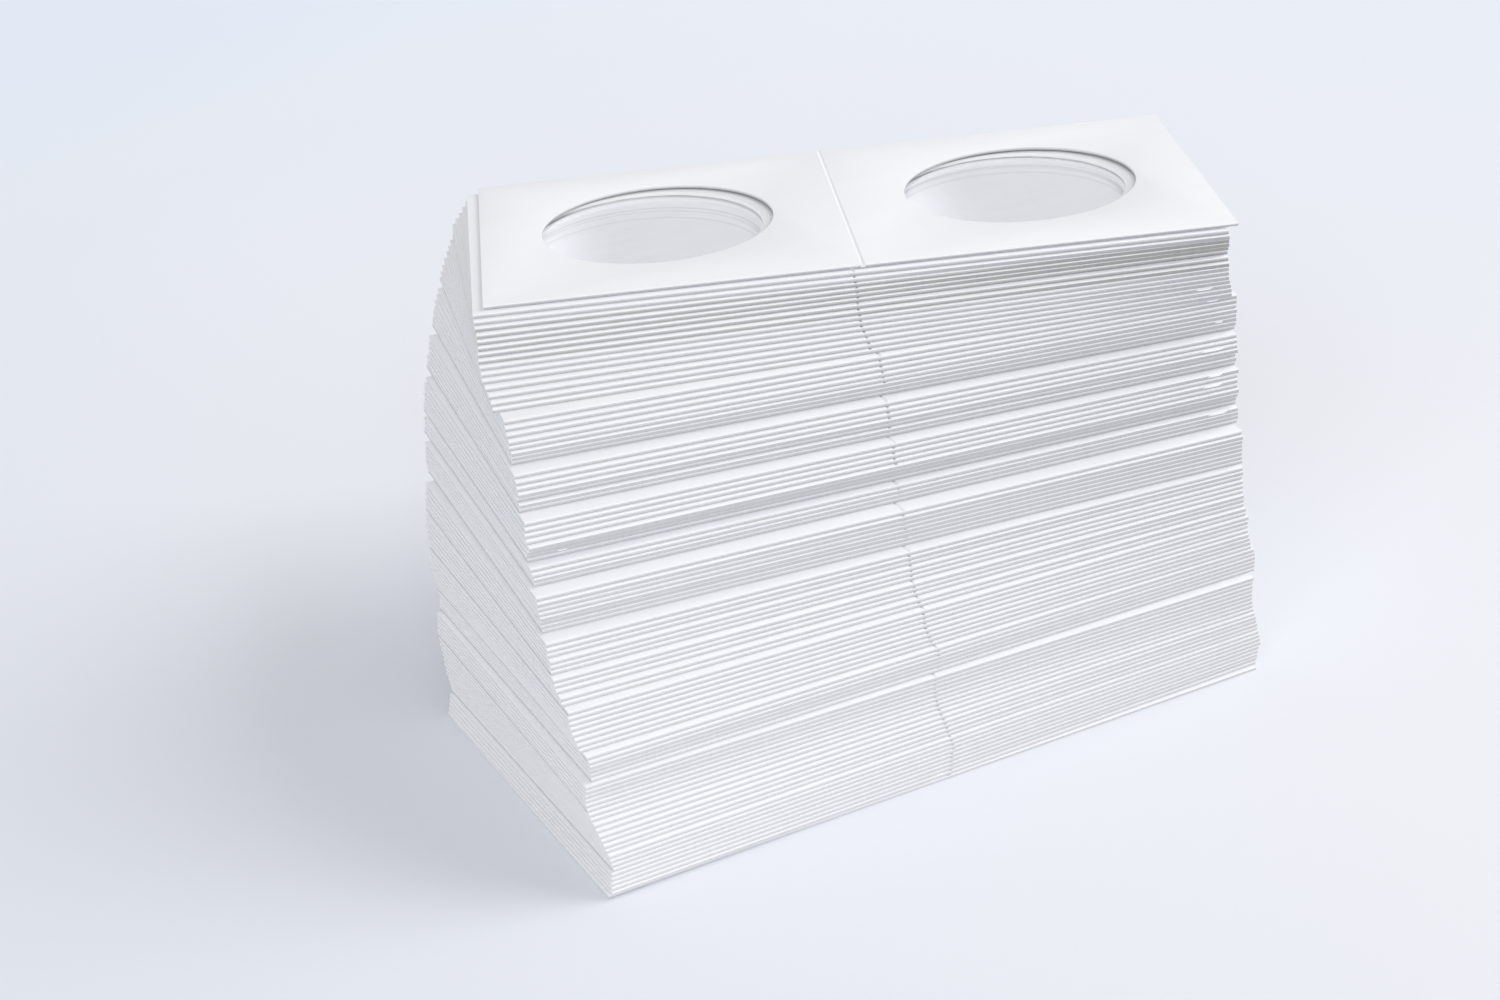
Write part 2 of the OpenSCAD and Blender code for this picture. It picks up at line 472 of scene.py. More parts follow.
def mix_shaders(tree, factor, first, second, output):
    """Feeds an output from the first shader where the factor is 0 and the second where it is 1."""
    mix = add_node(tree, "ShaderNodeMixShader")
    for place, source in zip(mix.inputs, (factor, first.outputs[0], second.outputs[0])):
        tree.links.new(source, place)
    tree.links.new(mix.outputs[0], tree.nodes[output].inputs["Surface"])


def facing_finish(name, painted_glow):
    """Smooth white coated card with the faintest grain, and a painted glow for light that films
    scatter.
    """
    tree, shader = new_finish(name, roughness=0.55, specular=0.35)
    white = bpy.context.scene.finish_colours.facing
    dim = [channel * CLOUD_DIM for channel in white]
    clouds = plan_noise(tree, *CARD_CLOUDS)
    tint(tree, shader.inputs["Base Color"], clouds, *zip(CLOUD_STOPS, (dim, white)))
    add_bump(tree, shader, plan_noise(tree, *CARD_GRAIN), distance=0.00002, strength=0.25)
    shader.inputs["Emission Color"].default_value = (*white, 1)
    shader.inputs["Emission Strength"].default_value = painted_glow


def cut_finish(name, upper, foot):
    """The fibrous edge that a die leaves, with faint marks down the pile from nicks in the blade.
    Painted shade makes it darker to its foot, most so where the flip below juts out, high in the
    pile and to its right. On the ends it is lighter, apart from a painted shadow at the seam under
    each block."""
    tree, shader = new_finish(name, roughness=0.9, specular=0.2)
    ledge, height = place_on_map(tree, "edge")
    right, _, up = place_in_frame(tree)
    to_foot = reckon(tree, "SUBTRACT", 1, height)
    jut = reckon(tree, "MULTIPLY", ledge, 1, clamp=True)
    slope = reckon(tree, "MULTIPLY_ADD", jut, JUT_SLOPE, SIDE_SLOPE)
    halfway = reckon(tree, "MULTIPLY_ADD", jut, JUT_SHADE, SIDE_SHADE)
    growth = reckon(tree, "MULTIPLY_ADD", up, GROWTH_UP, SHADE_GROWTH)
    growth = reckon(tree, "MULTIPLY_ADD", right, GROWTH_RIGHT, growth)
    spread = reckon(tree, "MULTIPLY", reckon(tree, "SUBTRACT", to_foot, 0.5), slope)
    on_side = reckon(tree, "MULTIPLY", reckon(tree, "ADD", spread, halfway), growth)
    is_side = reckon(tree, "GREATER_THAN", ledge, END_MARK / 2)
    # Painted shadow at the seam under each block, along the foot of its first card
    starts_block = reckon(tree, "SUBTRACT", ledge, END_MARK, clamp=True)
    seam_shadow = reckon(tree, "MULTIPLY", reckon(tree, "POWER", to_foot, SEAM_POWER), starts_block)
    at_end = reckon(tree, "MULTIPLY", to_foot, END_SLOPE)
    at_end = reckon(tree, "MULTIPLY_ADD", seam_shadow, SEAM_SHADE, at_end)
    shade = reckon(tree, "SUBTRACT", on_side, at_end)
    shade = reckon(tree, "MULTIPLY_ADD", shade, is_side, at_end)
    grain = reckon(tree, "ADD", plan_noise(tree, *BLADE_MARKS), plan_noise(tree, *CUT_FIBRES))
    shade = reckon(tree, "ADD", shade, GRAIN_SHADE)
    shade = reckon(tree, "MULTIPLY_ADD", grain, -GRAIN_SHADE, shade)
    shade = reckon(tree, "DIVIDE", shade, FOOT_SHADE)
    tint(tree, shader.inputs["Base Color"], shade, *zip(CUT_STOPS, (upper, foot)))
    add_bump(tree, shader, grain, distance=0.00003, strength=0.4)


def in_window(tree, x, y, flip, below):
    """Where a point lies from the middle of the nearer window of a flip some way below, as seen on
    this flip's plan from the front: how far along, and how far off."""
    flips = bpy.context.scene.flip_sizes
    to_plan = in_pile(flip).inverted() @ in_pile(flip - below)
    reach = flips.strip_length / 4 + flips.window_outset
    setback = flips.window_setback - below * flips.rim_drift
    left, right = (to_plan @ Vector((side * reach, setback, 0)) for side in (-1, 1))
    middle, half = (left + right) / 2, (right - left) / 2
    side = reckon(tree, "SIGN", x)
    along = reckon(tree, "SUBTRACT", x, reckon(tree, "MULTIPLY_ADD", side, half.x, middle.x))
    across = reckon(tree, "SUBTRACT", y, reckon(tree, "MULTIPLY_ADD", side, half.y, middle.y))
    squares = reckon(tree, "MULTIPLY_ADD", along, along, reckon(tree, "MULTIPLY", across, across))
    return along, reckon(tree, "SQRT", squares)


def film_finish(name, cast, milk, shade):
    """Clear glossy film with a slight haze, and the card's shade painted at the back of its
    windows.
    """
    tree, shader = new_finish(name, roughness=0.22, specular=0.4)
    colours, flips = bpy.context.scene.finish_colours, bpy.context.scene.flip_sizes
    radius, width = flips.window_radius, flips.rim_shade
    least = (1 - HAZE_SPREAD / 2) * milk
    haze = reckon(tree, "MULTIPLY_ADD", plan_noise(tree, *FILM_CLOUDS), HAZE_SPREAD * milk, least)
    x, y = place_on_map(tree, "plan")
    off = in_window(tree, x, y, TOP_FLIP, 0)[1]
    near_rim = reckon(tree, "MULTIPLY_ADD", off, 1 / width, 1 - radius / width, clamp=True)
    to_back = reckon(tree, "MULTIPLY", y, BACK_GROWTH / radius, clamp=True)
    shaded = reckon(tree, "MULTIPLY", reckon(tree, "MULTIPLY", near_rim, near_rim), to_back)
    tree.links.new(reckon(tree, "MULTIPLY_ADD", shaded, shade, haze), shader.inputs["Alpha"])
    tint(tree, shader.inputs["Base Color"], shaded, *zip(FILM_STOPS, (cast, colours.cut_foot_shade)))


def deep_film_finish(name, gain, scatter):
    """A film under its card, over the well of windows below it. It is opaque, and the well's shade
    is
    painted on it: in its window it is milky, with the rims of deeper windows painted on as faint
    lines, and a painted glow, brighter to the left, stands for light scattered between films."""
    tree, shader = new_finish(name, roughness=0.35, specular=0.3)
    colours, flips = bpy.context.scene.finish_colours, bpy.context.scene.flip_sizes
    radius, soft = flips.window_radius, flips.rim_softness
    x, y = place_on_map(tree, "plan")
    along, off = in_window(tree, x, y, DEEP_FLIP, 0)
    light = WELL_LIGHT
    for below, strength in DEEP_RIMS:
        past_rim = reckon(tree, "SUBTRACT", in_window(tree, x, y, DEEP_FLIP, below)[1], radius)
        on_card = reckon(tree, "MULTIPLY_ADD", past_rim, 0.5 / soft, 0.5, clamp=True)
        line = reckon(tree, "MULTIPLY", reckon(tree, "PINGPONG", on_card, 0.5), -strength)
        line = reckon(tree, "MULTIPLY_ADD", on_card, WELL_CARD_LIGHT, line)
        light = reckon(tree, "ADD", line, light)
    clouds = plan_noise(tree, *FILM_CLOUDS)
    light = reckon(tree, "MULTIPLY_ADD", clouds, WELL_CLOUD_LIGHT, light)
    on_own_card = reckon(tree, "MULTIPLY", reckon(tree, "SUBTRACT", off, radius), 1 / soft)
    look = reckon(tree, "MAXIMUM", reckon(tree, "MULTIPLY", light, WELL_STOPS[-2]), on_own_card)
    wells = (colours.well_rim, colours.well, colours.film)
    shades = [[gain * channel for channel in well] for well in wells]
    tint(tree, shader.inputs["Base Color"], look, *zip(WELL_STOPS, (*shades, colours.facing)))
    growth = -LEFT_GROWTH / radius
    to_left = reckon(tree, "MULTIPLY_ADD", along, growth, 1 - LEFT_GROWTH, clamp=True)
    scattered = reckon(tree, "MULTIPLY", to_left, to_left)
    scattered = reckon(tree, "MULTIPLY_ADD", scattered, LEFT_SCATTER, SCATTER)
    shader.inputs["Emission Color"].default_value = (*colours.film, 1)
    tree.links.new(reckon(tree, "MULTIPLY", scattered, scatter), shader.inputs["Emission Strength"])


# Hand work on meshes


def start_primitive():
    """Leaves nothing selected, so that the next primitive stands alone."""
    if bpy.context.object and bpy.context.object.mode != "OBJECT":
        bpy.ops.object.mode_set(mode="OBJECT")
    bpy.ops.object.select_all(action="DESELECT")


def select_only(piece):
    """Selects one piece and makes it the active one."""
    start_primitive()
    piece.select_set(True)
    bpy.context.view_layer.objects.active = piece


def pick(piece, kind, fits):
    """In edit mode, selects just the vertices, edges or faces that fit."""
    bpy.ops.mesh.select_mode(type=kind)
    bpy.ops.mesh.select_all(action="DESELECT")
    mesh = bmesh.from_edit_mesh(piece.data)
    for part in {"VERT": mesh.verts, "EDGE": mesh.edges, "FACE": mesh.faces}[kind]:
        if fits(part):
            part.select_set(True)
    bmesh.update_edit_mesh(piece.data)


def add_block(name, low, high):
    """A box between two corners, as a start."""
    low, high = Vector(low), Vector(high)
    start_primitive()
    bpy.ops.mesh.primitive_cube_add(size=1, location=(low + high) / 2, scale=high - low)
    bpy.ops.object.transform_apply(location=True, rotation=False, scale=True)
    piece = bpy.context.object
    piece.name = name
    return piece


def cut_across(places, axis=0):
    """In edit mode, cuts the piece across at these places along an axis, and leaves it whole."""
    normal = Vector([1 if axis == number else 0 for number in range(3)])
    for place in places:
        bpy.ops.mesh.select_all(action="SELECT")
        bpy.ops.mesh.bisect(plane_co=place * normal, plane_no=normal)


def press_round(piece, fits, width):
    """Rounds the edges that fit, as the die presses them."""
    pick(piece, "EDGE", fits)
    bpy.ops.mesh.bevel(offset=width, segments=ROUNDING_STEPS, affect="EDGES", clamp_overlap=True)


def lay_plan(piece):
    """Keeps each point's place on the flip's own plan as the plan map, which finishes follow."""
    mesh = piece.data
    while mesh.uv_layers:
        mesh.uv_layers.remove(mesh.uv_layers[0])
    plan = mesh.uv_layers.new(name="plan")
    for loop in mesh.loops:
        plan.data[loop.index].uv = mesh.vertices[loop.vertex_index].co.xy


def lay_edge(piece, flips):
    """Keeps how high on the card each point is, as the second number of the edge map, and marks all
    of the card as an end."""
    mesh = piece.data
    edge = mesh.uv_layers.new(name="edge")
    for loop in mesh.loops:
        height = mesh.vertices[loop.vertex_index].co.z - flips.film_thickness
        edge.data[loop.index].uv = (END_MARK, height / flips.card_thickness)


def lay_ledge(piece, flip):
    """Keeps in the edge map how far the flip below juts out under the card's long sides, in ledge
    widths, and which cards are the first of their block, for the shade that the cut finish paints."""
    flips = bpy.context.scene.flip_sizes
    mesh, half_depth = piece.data, flips.strip_depth / 2
    rounded = half_depth - 2 * flips.cut_rounding
    to_below = in_pile(max(flip - 1, 1)).inverted() @ in_pile(flip)
    edge = mesh.uv_layers["edge"]
    for face in mesh.polygons:
        if abs(face.normal.y) > LOOKS_ALONG and abs(face.center.y) > rounded:
            for loop in face.loop_indices:
                corner = mesh.vertices[mesh.loops[loop].vertex_index].co
                side = math.copysign(half_depth, corner.y)
                below = to_below @ Vector((corner.x, side, flips.film_thickness))
                edge.data[loop].uv.x = (half_depth - abs(below.y)) / flips.ledge_width
        elif flip in BLOCK_FIRSTS:
            for loop in face.loop_indices:
                edge.data[loop].uv.x = END_MARK + 1


def finish_card(piece):
    """Gives level faces the white facing and upright ones the cut finish, and smooths the roundings
    but not the crease."""
    piece.data.materials.clear()
    piece.data.materials.append(bpy.data.materials["white card facing"])
    piece.data.materials.append(bpy.data.materials["cut card edge"])
    for face in piece.data.polygons:
        face.material_index = FACING_SLOT if abs(face.normal.z) > CUT_LOOKS_UP else CUT_SLOT
    lay_plan(piece)
    lay_edge(piece, bpy.context.scene.flip_sizes)
    select_only(piece)
    bpy.ops.object.shade_smooth_by_angle(angle=bpy.context.scene.flip_sizes.smoothing)


def card_top(flips):
    """Height of the card's face over the flip's underside."""
    return flips.film_thickness + flips.card_thickness


def press_crease(piece, flips, cuts):
    """Cuts the card across at these places and presses the scored groove into them, pinched at its
    mouths, where it runs out at the sides."""
    half, top, side = flips.crease_width / 2, card_top(flips), flips.strip_depth / 2
    near, mouth = flips.crease_width / 100, side - 2 * flips.crease_width
    cut_across(cuts)
    cut_across((-mouth, mouth), axis=1)
    for place in cuts:
        drop = flips.crease_depth * (1 - abs(place) / half)
        pick(piece, "VERT", lambda v: abs(v.co.x - place) < near and v.co.z > top - near)
        if drop > near:
            bpy.ops.transform.translate(value=(0, 0, -drop))
    reach, rounded = max(cuts) + near, side - 2 * flips.cut_rounding
    pick(piece, "VERT", lambda v: abs(v.co.x) < reach and abs(v.co.y) > rounded)
    bpy.ops.transform.resize(value=(MOUTH_PINCH, 1, 1), center_override=(0, 0, 0))


def punch_window(piece, flips, side):
    """Punches one window through the card and crushes its rim."""
    radius, depth = flips.window_radius, PUNCH_LENGTH * flips.card_thickness
    reach = flips.strip_length / 4 + flips.window_outset
    middle = Vector((side * reach, flips.window_setback, 0))
    start_primitive()
    bpy.ops.mesh.primitive_cylinder_add(
        vertices=flips.window_facets, radius=radius, depth=depth, location=middle
    )
    punch = bpy.context.object
    select_only(piece)
    cut = piece.modifiers.new("Window", "BOOLEAN")
    cut.operation, cut.solver, cut.object = "DIFFERENCE", "EXACT", punch
    bpy.ops.object.modifier_apply(modifier=cut.name)
    bpy.data.objects.remove(punch)
    top, near = card_top(flips), flips.rim_bevel / 4

    def on_rim(edge):
        ends = [v.co for v in edge.verts]
        round_it = all(abs((co.xy - middle.xy).length - radius) < near for co in ends)
        return round_it and all(co.z > top - near for co in ends)

    bpy.ops.object.mode_set(mode="EDIT")
    press_round(piece, on_rim, flips.rim_bevel)
    bpy.ops.object.mode_set(mode="OBJECT")


def make_card(name, x_low, x_high, with_crease=True):
    """The card of a flip between two places along it, drawn round the flip's middle."""
    flips = bpy.context.scene.flip_sizes
    half_depth, half_length, top = flips.strip_depth / 2, flips.strip_length / 2, card_top(flips)
    piece = add_block(name, (x_low, -half_depth, flips.film_thickness), (x_high, half_depth, top))
    near = flips.foot_rounding / 4

    def on_outline(edge, height, sides=True, ends=True):
        a, b = (v.co for v in edge.verts)
        level = abs(a.z - height) < near and abs(b.z - height) < near
        along_side = abs(abs(a.y) - half_depth) < near and abs(a.y - b.y) < near
        at_end = abs(abs(a.x) - half_length) < near and abs(a.x - b.x) < near
        return level and (sides and along_side or ends and at_end)

    bpy.ops.object.mode_set(mode="EDIT")
    if with_crease:
        pick(piece, "FACE", lambda face: face.normal.z < -LOOKS_ALONG)
        bpy.ops.mesh.inset(thickness=flips.film_margin)
    press_round(piece, lambda edge: on_outline(edge, top, ends=False), flips.cut_rounding)
    press_round(piece, lambda edge: on_outline(edge, top, sides=False), flips.foot_rounding)
    press_round(piece, lambda edge: on_outline(edge, flips.film_thickness), flips.foot_rounding)
    if with_crease:
        press_crease(piece, flips, (-flips.crease_width / 2, 0, flips.crease_width / 2))
    bpy.ops.object.mode_set(mode="OBJECT")
    for side in (-1, 1):
        if side * (x_low + x_high) >= 0:
            punch_window(piece, flips, side)
    finish_card(piece)
    return piece


def make_film(name, x_low, x_high):
    """The film of a flip between two places along it."""
    flips = bpy.context.scene.flip_sizes
    along, across = FILM_FIELDS
    middle = ((x_low + x_high) / 2, 0, 0)
    start_primitive()
    bpy.ops.mesh.primitive_grid_add(
        x_subdivisions=along, y_subdivisions=across, size=1, location=middle
    )
    piece = bpy.context.object
    piece.name = name
    piece.scale = (x_high - x_low, flips.strip_depth - 2 * flips.film_margin, 1)
    bpy.ops.object.transform_apply(location=True, rotation=False, scale=True)
    sheet = piece.modifiers.new("Sheet", "SOLIDIFY")
    sheet.thickness, sheet.offset = flips.film_thickness, 1
    bpy.ops.object.modifier_apply(modifier=sheet.name)
    piece.data.materials.clear()
    piece.data.materials.append(bpy.data.materials["clear film"])
    lay_plan(piece)
    return piece


def tear_sliver(piece, flip):
    """Adds the sliver that tore up where the sheet's last bridge held this card."""
    flips = bpy.context.scene.flip_sizes
    place, long = SLIVERS[flip]
    front, top, thick = -flips.strip_depth / 2, card_top(flips), flips.card_thickness / 2
    low = (place - long / 2, front - SLIVER_OUT * thick, top - SLIVER_FOOT * thick)
    high = (place + long / 2, front + SLIVER_IN * thick, top - SLIVER_TOP * thick)
    sliver = add_block("sliver", low, high)
    bpy.ops.object.mode_set(mode="EDIT")
    for turned in (-1, 1):
        pick(sliver, "FACE", lambda face: face.normal.x * turned > LOOKS_ALONG)
        pull = (turned * long * TIP_PULL, 0, turned * thick * TIP_TILT)
        bpy.ops.mesh.extrude_region_move(TRANSFORM_OT_translate={"value": pull})
        bpy.ops.transform.resize(value=SLIVER_TIP)
    pick(sliver, "FACE", lambda face: face.normal.y < -LOOKS_ALONG)
    bpy.ops.transform.resize(value=SLIVER_FRONT)
    bpy.ops.object.mode_set(mode="OBJECT")
    finish_card(sliver)
    for face in sliver.data.polygons:
        face.material_index = FACING_SLOT
    select_only(piece)
    sliver.select_set(True)
    bpy.ops.object.join()


def finish_copy(piece, flip):
    """Gives the flips high in the pile their cut edge painted greyer for shade, films that lie deep
    under others their opaque milky look with the well's shade painted on, and the windows' rims
    under clear films a painted glow."""
    if piece.data.materials[0].name == "clear film":
        if flip <= DEEP_FLIP:
            look = "deep film" if flip == DEEP_FLIP else "stacked film"
            piece.data.materials[0] = bpy.data.materials[look]
    # Painted shade: greyer cut edges high in the pile
    elif flip in SHADED_GREY_FLIPS:
        piece.data.materials[CUT_SLOT] = bpy.data.materials["grey cut edge"]
    elif flip >= DEEP_FLIP:
        flips = bpy.context.scene.flip_sizes
        # Painted light: the rims of windows under clear films glow
        piece.data.materials.append(bpy.data.materials["veiled rim"])
        for face in piece.data.polygons:
            off_sides = abs(face.center.y) < flips.strip_depth / 2 - flips.film_margin
            off_ends = abs(face.center.x) < flips.strip_length / 2 - flips.film_margin
            if face.normal.z < RIM_LOOKS_UP and off_sides and off_ends:
                face.material_index = RIM_SLOT


def rest_rim(piece, flip):
    """Presses a card's rim down all round, until it nearly rests on the flip or the table below."""
    flips = bpy.context.scene.flip_sizes
    near, foot = 2 * flips.foot_rounding, flips.film_thickness
    end, side = flips.strip_length / 2, flips.strip_depth / 2
    if flip > 1:
        below = in_pile(flip - 1).inverted() @ in_pile(flip)
    else:
        below = Matrix.Translation((0, 0, card_top(flips)))
    select_only(piece)
    bpy.ops.object.mode_set(mode="EDIT")
    for x, reach in ((-end, near), (0, flips.crease_width), (end, near)):
        for y in (-side, side):

            def at_foot(v):
                return v.co.z < foot + near and abs(v.co.x - x) < reach and abs(v.co.y - y) < near

            pick(piece, "VERT", at_foot)
            air = (below @ Vector((x, y, foot))).z - card_top(flips)
            bpy.ops.transform.translate(value=(0, 0, flips.rest_gap - air))
    bpy.ops.object.mode_set(mode="OBJECT")


def copy_to(master, flip, name):
    """A copy of a master, with its own mesh, at a flip's place in the pile."""
    copy = master.copy()
    copy.data = master.data.copy()
    copy.name = name
    bpy.context.scene.collection.objects.link(copy)
    if master.name == "master card":
        lay_ledge(copy, flip)
        rest_rim(copy, flip)
        if flip in SLIVERS:
            tear_sliver(copy, flip)
    finish_copy(copy, flip)
    copy.data.transform(in_pile(flip))
    return copy


def join_copies(master, flips, name):
    """One piece of a copy of the master at each of these flips."""
    copies = [copy_to(master, flip, name) for flip in flips]
    select_only(copies[0])
    for copy in copies:
        copy.select_set(True)
    bpy.ops.object.join()
    return copies[0]


def belongs(piece, node):
    """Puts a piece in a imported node's stead, on its body."""
    piece.name = piece.data.name = node + "_look"
    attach(piece, body_of_node[node])
    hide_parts(node)


def master_of(kind):
    """The card or the film that all full flips are copied from, made when it is first wanted."""
    found = bpy.data.objects.get("master " + kind)
    if found:
        return found
    flips = bpy.context.scene.flip_sizes
    half = flips.strip_length / 2
    if kind == "card":
        return make_card("master card", -half, half)
    return make_film("master film", flips.film_margin - half, half - flips.film_margin)


# One operator for each group of like pieces, and one for the stage


class FLIPS_OT_finishes(bpy.types.Operator):
    """Mix the card's, the film's and the cut edges' finishes"""

    bl_idname = "flips.finishes"
    bl_label = "Finishes"

    def execute(self, context):
        colours = context.scene.finish_colours
        facing_finish("white card facing", painted_glow=0)
        # Window rims under clear films glow: painted light, for light that the films scatter
        facing_finish("veiled rim", painted_glow=0.18)
        cut_finish("cut card edge", colours.cut, colours.cut_foot_shade)
        # Greyer edges painted for the shade high in the pile
        cut_finish("grey cut edge", colours.grey_shaded_cut, colours.grey_foot_shade)
        film_finish("clear film", colours.film, milk=0.03, shade=0)
        # The top film's greyer haze is partly real haze and partly painted shade over its windows
        film_finish("top film", colours.grey_shaded_cut, milk=0.12, shade=0.1)
        # Films deep under others are opaque with the well's shade painted on; the deep one has a
        # painted glow
        deep_film_finish("deep film", gain=0.85, scatter=1)
        deep_film_finish("stacked film", gain=0.75, scatter=0)
        return {"FINISHED"}


class FLIPS_OT_stacked_flips(bpy.types.Operator):
    """Lay the cards and films of the stacked blocks"""

    bl_idname = "flips.stacked_flips"
    bl_label = "Stacked blocks"

    def execute(self, context):
        for block in STACKED_BLOCKS:
            start = block_start(block)
            flips = range(start, start + BLOCK_COUNTS[block])
            for kind in ("card", "film"):
                node = f"stack_{block + 1:02d}_{kind}s"
                belongs(join_copies(master_of(kind), flips, node), node)
        return {"FINISHED"}


class FLIPS_OT_loose_flips(bpy.types.Operator):
    """Lay the loose flips under the top one, each with a card and a film"""

    bl_idname = "flips.loose_flips"
    bl_label = "Loose flips"

    def execute(self, context):
        for flip in range(FIRST_LOOSE, TOP_FLIP):
            for kind in ("card", "film"):
                node = f"flip_{flip}_{kind}"
                belongs(copy_to(master_of(kind), flip, node), node)
        return {"FINISHED"}


class FLIPS_OT_top_flip(bpy.types.Operator):
    """Lay the top flip, as two panels and the creased strip between them"""

    bl_idname = "flips.top_flip"
    bl_label = "Top flip"

    def execute(self, context):
        flips = context.scene.flip_sizes
        half, fold = flips.strip_length / 2, flips.crease_width / 2
        reach = half - flips.film_margin
        for side, low, high in (("left", -half, -fold), ("right", fold, half)):
            card = make_card(f"{side} panel", low, high, with_crease=False)
            film = make_film(f"{side} film", max(low, -reach), min(high, reach))
            lay_ledge(card, TOP_FLIP)
            film.data.materials[0] = bpy.data.materials["top film"]
            for piece, kind in ((card, "card"), (film, "film")):
                piece.data.transform(in_pile(TOP_FLIP))
                belongs(piece, f"top_{side}_{kind}")
        self.add_crease(flips, fold)
        return {"FINISHED"}

    def add_crease(self, flips, fold):
        """The creased strip of card and film between the panels, cut across in steps for the fold.
        """
        reach, foot, top = flips.strip_depth / 2, flips.film_thickness, card_top(flips)
        cuts = [fold * (2 * step / FOLD_STEPS - 1) for step in range(1, FOLD_STEPS)]
        place = in_pile(TOP_FLIP)
        card = add_block("crease card", (-fold, -reach, foot), (fold, reach, top))
        reach -= flips.film_margin
        film = add_block("crease film", (-fold, -reach, 0), (fold, reach, foot))
        for piece, kind in ((card, "card"), (film, "film")):
            select_only(piece)
            bpy.ops.object.mode_set(mode="EDIT")
            if kind == "card":
                press_crease(piece, flips, cuts)
                bpy.ops.object.mode_set(mode="OBJECT")
                finish_card(piece)
            else:
                cut_across(cuts)
                bpy.ops.object.mode_set(mode="OBJECT")
                piece.data.materials.append(bpy.data.materials["clear film"])
                lay_plan(piece)
            piece.data.transform(place)
            piece.name = piece.data.name = f"top_crease_{kind}_look"
            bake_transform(piece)
            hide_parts(f"top_left_{kind}", f"top_right_{kind}")


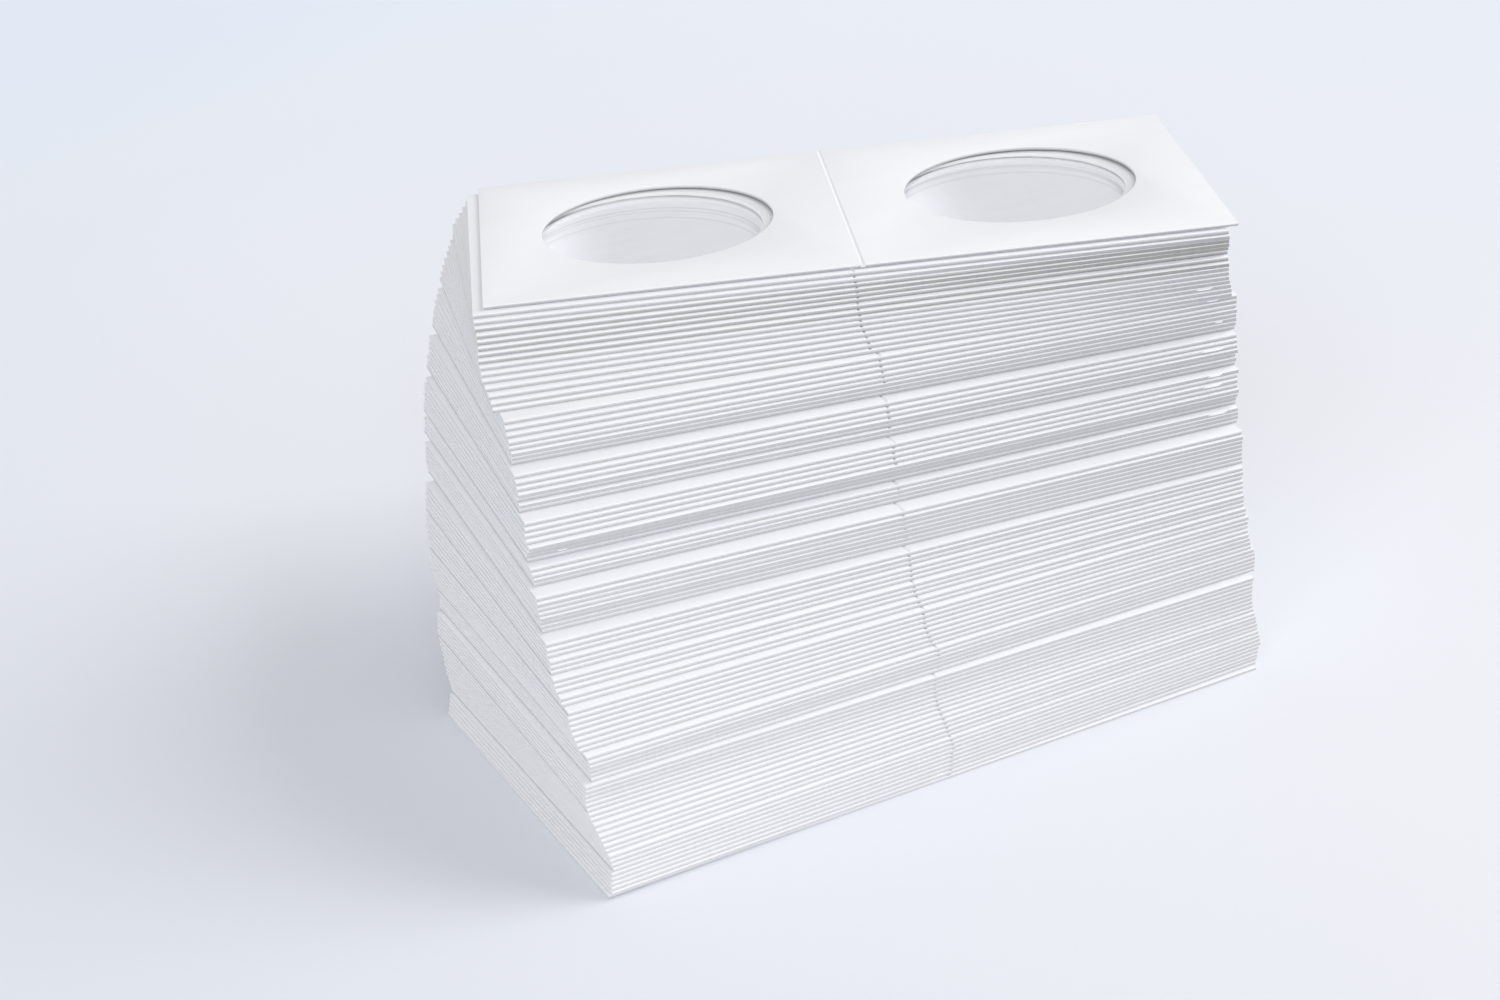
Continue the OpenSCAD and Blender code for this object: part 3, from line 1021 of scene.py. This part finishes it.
class FLIPS_OT_studio(bpy.types.Operator):
    """Set the table, the light and the camera"""

    bl_idname = "flips.studio"
    bl_label = "Table, light and camera"

    def execute(self, context):
        studio = context.scene.studio_settings
        self.add_table(context, studio)
        self.add_surroundings(context, studio)
        for name in ("key", "fill"):
            self.add_lamp(context, studio, name)
        self.add_camera(context, studio)
        context.scene.view_settings.view_transform = "Standard"
        return {"FINISHED"}

    def add_table(self, context, studio):
        """A wide level table under the pile."""
        start_primitive()
        bpy.ops.mesh.primitive_plane_add(size=studio.table_side)
        table = context.object
        table.name = "table"
        self.finish_table(context.scene.finish_colours)
        table.data.materials.append(bpy.data.materials["pale table"])

    def finish_table(self, colours):
        """Pale matt table with painted light, dimmer to the left, that fades into the pale room
        behind it.
        """
        tree, shader = new_finish("pale table", roughness=0.8, specular=0.1)
        x, y, _ = place_in_frame(tree)

        def rise(direction, per_metre, start):
            """What grows along a level direction, from its value at the pile."""
            along = reckon(tree, "MULTIPLY", x, direction[0])
            along = reckon(tree, "MULTIPLY_ADD", y, direction[1], along)
            return reckon(tree, "MULTIPLY_ADD", along, per_metre, start)

        light = rise(*TABLE_LIGHT)
        tint(tree, shader.inputs["Base Color"], light, (0, colours.table_dim), (1, colours.table))
        room = add_node(tree, "ShaderNodeEmission")
        tint(tree, room.inputs["Color"], rise(*ROOM_LIGHT), (0, colours.sky_dim), (1, colours.sky))
        squares = reckon(tree, "MULTIPLY_ADD", x, x, reckon(tree, "MULTIPLY", y, y))
        away = reckon(tree, "SQRT", squares)
        away = reckon(tree, "MULTIPLY_ADD", away, ROOM_FADE, ROOM_FADE_START, clamp=True)
        path = add_node(tree, "ShaderNodeLightPath").outputs
        faded = reckon(tree, "MULTIPLY", away, path["Is Camera Ray"])
        mix_shaders(tree, faded, shader, room, "Material Output")

    def add_surroundings(self, context, studio):
        """Even light all round, in front of which the pale room is seen."""
        world = bpy.data.worlds.new("pale room")
        context.scene.world = world
        world.use_nodes = True
        tree = world.node_tree
        lamp = tree.nodes["Background"]
        lamp.inputs["Color"].default_value = (1, 1, 1, 1)
        lamp.inputs["Strength"].default_value = studio.ambient
        seen = add_node(tree, "ShaderNodeBackground")
        seen.inputs["Color"].default_value = (*context.scene.finish_colours.sky, 1)
        path = add_node(tree, "ShaderNodeLightPath").outputs
        looked = reckon(tree, "MAXIMUM", path["Is Camera Ray"], path["Is Glossy Ray"])
        looked = reckon(tree, "MAXIMUM", looked, path["Is Transmission Ray"])
        mix_shaders(tree, looked, lamp, seen, "World Output")

    def add_lamp(self, context, studio, name):
        """A square lamp that adds its share of light on a level white face in the middle."""
        height, turn = getattr(studio, name + "_height"), getattr(studio, name + "_turn")
        distance = studio.lamp_distance
        lamp = bpy.data.lights.new(name, "AREA")
        lamp.shape, lamp.size = "SQUARE", getattr(studio, name + "_size")
        lamp.energy = getattr(studio, name + "_share") * math.pi**2 * distance**2 / math.sin(height)
        lit_from = bpy.data.objects.new(name, lamp)
        context.scene.collection.objects.link(lit_from)
        level = math.cos(height)
        away = Vector((level * math.cos(turn), level * math.sin(turn), math.sin(height)))
        lit_from.location = away * distance
        lit_from.rotation_euler = away.to_track_quat("Z", "Y").to_euler()

    def add_camera(self, context, studio):
        """The camera, where the photograph was taken from."""
        camera = bpy.data.objects.new("camera", bpy.data.cameras.new("camera"))
        context.scene.collection.objects.link(camera)
        context.scene.camera = camera
        ahead = Vector(studio.aim) - Vector(studio.eye)
        level = ahead.to_track_quat("-Z", "Y").to_matrix()
        turned = (level @ Matrix.Rotation(studio.roll, 3, "Z")).to_4x4()
        camera.matrix_world = Matrix.Translation(studio.eye) @ turned
        camera.data.sensor_width = SENSOR_WIDTH_MM
        camera.data.lens = studio.lens
        camera.data.clip_start, camera.data.clip_end = NEAREST_SEEN, FARTHEST_SEEN


class FLIPS_PT_panel(bpy.types.Panel):
    """Lists the makers of the coin flip pile"""

    bl_idname = "FLIPS_PT_panel"
    bl_label = "Coin Flip Pile"
    bl_space_type = "VIEW_3D"
    bl_region_type = "UI"
    bl_category = "Coin Flips"

    def draw(self, context):
        for group in GROUPS:
            box = self.layout.box()
            for name in getattr(context.scene, group).bl_rna.properties.keys():
                if name not in ("rna_type", "name"):
                    box.prop(getattr(context.scene, group), name)
        for maker in OPERATORS:
            self.layout.operator(maker.bl_idname)


OPERATORS = (
    FLIPS_OT_studio,
    FLIPS_OT_finishes,
    FLIPS_OT_stacked_flips,
    FLIPS_OT_loose_flips,
    FLIPS_OT_top_flip,
)


def register():
    for group in (*GROUPS.values(), *OPERATORS, FLIPS_PT_panel):
        bpy.utils.register_class(group)
    for name, group in GROUPS.items():
        setattr(bpy.types.Scene, name, PointerProperty(type=group))


def unregister():
    for name in GROUPS:
        delattr(bpy.types.Scene, name)
    for group in reversed((*GROUPS.values(), *OPERATORS, FLIPS_PT_panel)):
        bpy.utils.unregister_class(group)


def main():
    """Makes the whole scene."""
    register()
    bpy.ops.flips.studio()
    bpy.ops.flips.finishes()
    bpy.ops.flips.stacked_flips()
    bpy.ops.flips.loose_flips()
    bpy.ops.flips.top_flip()
    for kind in ("card", "film"):
        bpy.data.objects.remove(master_of(kind))


if __name__ == "__main__":
    main()
